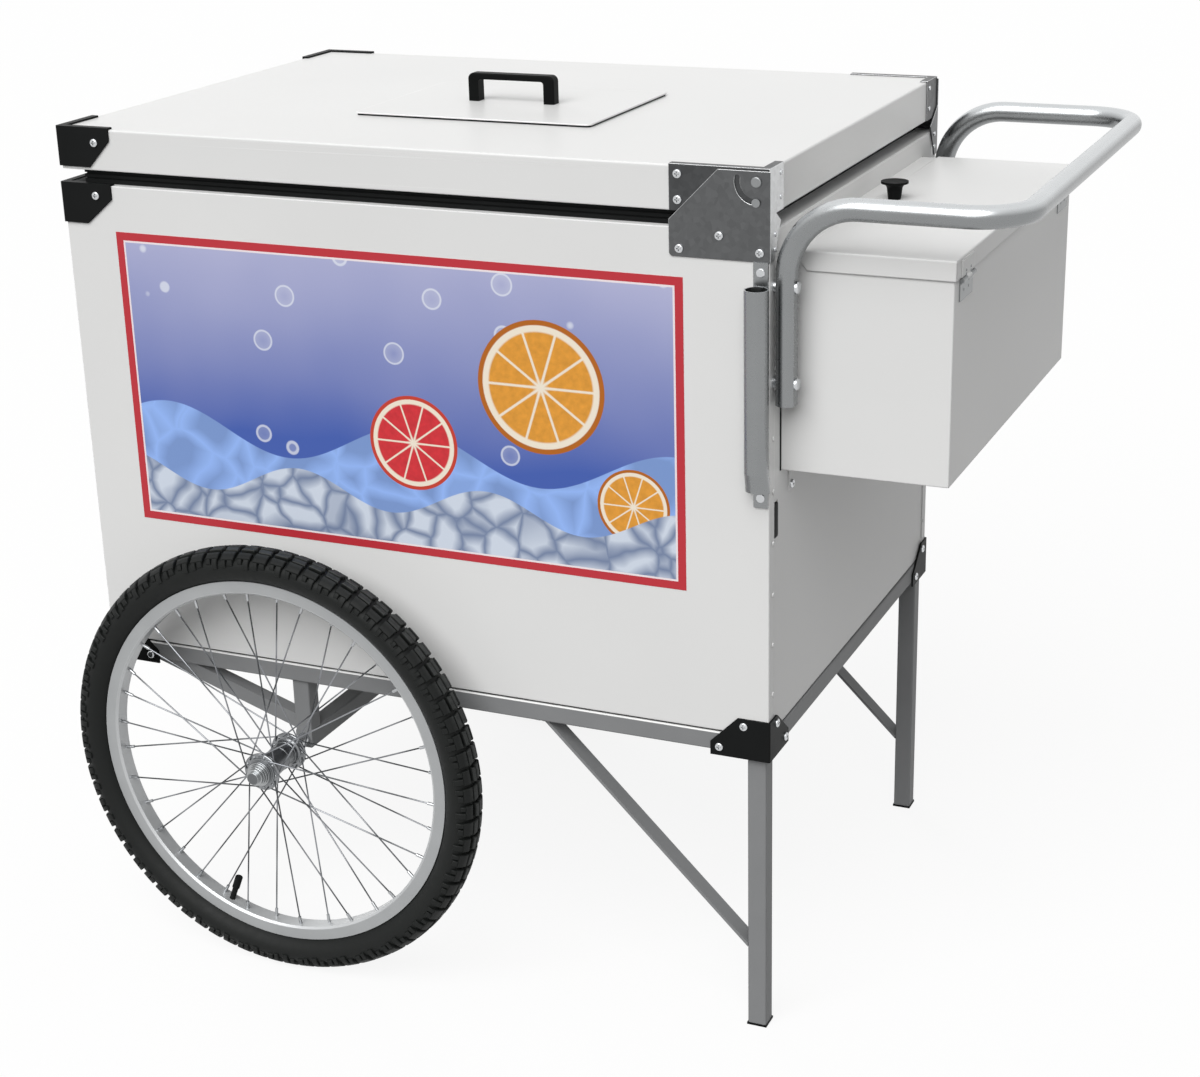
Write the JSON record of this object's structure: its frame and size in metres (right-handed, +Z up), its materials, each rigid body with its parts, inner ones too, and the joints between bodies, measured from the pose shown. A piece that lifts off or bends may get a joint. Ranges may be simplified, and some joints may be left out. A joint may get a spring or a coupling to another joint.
{
  "type": "beverage cart",
  "caption": "Insulated drinks cart with a hinged lid, lift-off hatch, side box, push handle and parasol socket, on spoked wheels and legs.",
  "frame": {"origin": "on the floor, under the middle of the whole cart's bounding box", "axes": "+X towards the push handle, +Y towards the right side of the person pushing, away from the picture, +Z up"},
  "size_m": [1.2754, 0.951, 1.1642],
  "materials": {
    "white_sheet": "satin",
    "frame_tube": "satin",
    "zinc_tube": "satin",
    "galvanised_plate": "satin",
    "bright_hardware": "polished",
    "black_coated_metal": "satin",
    "black_plastic": "satin",
    "black_rubber": "matte",
    "tyre_rubber": "matte",
    "rim_alloy": "satin",
    "spoke_steel": "satin",
    "liner_steel": "satin",
    "foam": "matte",
    "printed_sheet": "satin"
  },
  "bodies": {
    "cart": {"left_side_panel": "white_sheet", "right_side_panel": "white_sheet", "nose_panel": "white_sheet", "handle_end_panel": "white_sheet", "floor_panel": "white_sheet", "top_rim": "white_sheet", "side_box": "white_sheet", "panel_rivets": "white_sheet", "side_rails": "frame_tube", "end_rails": "frame_tube", "floor_bars": "frame_tube", "legs": "frame_tube", "leg_braces": "frame_tube", "axle_beam": "frame_tube", "axle_posts": "frame_tube", "axle_struts": "frame_tube", "push_handle": "zinc_tube", "parasol_holder": "zinc_tube", "hinge_body_plates": "galvanised_plate", "wheel_axles": "bright_hardware", "axle_nuts": "bright_hardware", "body_screws": "bright_hardware", "handle_fixings": "bright_hardware", "hinge_pivots": "bright_hardware", "side_box_hinge_leaves": "bright_hardware", "side_box_hinge_pins": "bright_hardware", "bottom_brackets": "black_coated_metal", "body_corner_brackets": "black_coated_metal", "foot_caps": "black_plastic", "drain_pipe": "black_plastic", "tank_liner": "liner_steel", "body_insulation": "foam", "picture_sheet": "printed_sheet"},
    "lid": {"lid_shell": "white_sheet", "lid_insulation": "foam", "lid_liner": "liner_steel", "lid_gasket": "black_rubber", "lid_corner_brackets": "black_coated_metal", "hinge_lid_plates": "galvanised_plate", "slot_pins": "bright_hardware", "lid_screws": "bright_hardware"},
    "hatch": {"hatch_cover": "white_sheet", "hatch_seal": "black_rubber", "hatch_plug": "foam", "hatch_handle": "black_plastic"},
    "side_box_lid": {"side_box_lid": "white_sheet", "side_lid_knob": "black_plastic", "side_lid_hinge_leaves": "bright_hardware"},
    "left_wheel": {"left_tyre": "tyre_rubber", "left_inner_tube": "black_rubber", "left_rim": "rim_alloy", "left_spokes": "spoke_steel", "left_hub": "spoke_steel", "left_bearings": "bright_hardware"},
    "right_wheel": {"right_tyre": "tyre_rubber", "right_inner_tube": "black_rubber", "right_rim": "rim_alloy", "right_spokes": "spoke_steel", "right_hub": "spoke_steel", "right_bearings": "bright_hardware"}
  },
  "joints": [
    {"name": "lid_hinge", "type": "hinge", "parent": "cart", "child": "lid", "pos_m": [0.32355, 0, 1.109], "axis": [0, 1, 0], "range_deg": [0, 100]},
    {"name": "hatch_lift", "type": "slide", "parent": "lid", "child": "hatch", "axis": [0, 0, 1], "range_m": [0, 0.15]},
    {"name": "side_box_lid_hinge", "type": "hinge", "parent": "cart", "child": "side_box_lid", "pos_m": [0.54835, 0, 0.9976], "axis": [0, 1, 0], "range_deg": [0, 93]},
    {"name": "left_wheel_spin", "type": "hinge", "parent": "cart", "child": "left_wheel", "pos_m": [-0.33375, -0.4185, 0.304], "axis": [0, 1, 0], "continuous": true},
    {"name": "right_wheel_spin", "type": "hinge", "parent": "cart", "child": "right_wheel", "pos_m": [-0.33375, 0.4185, 0.304], "axis": [0, 1, 0], "continuous": true}
  ]
}
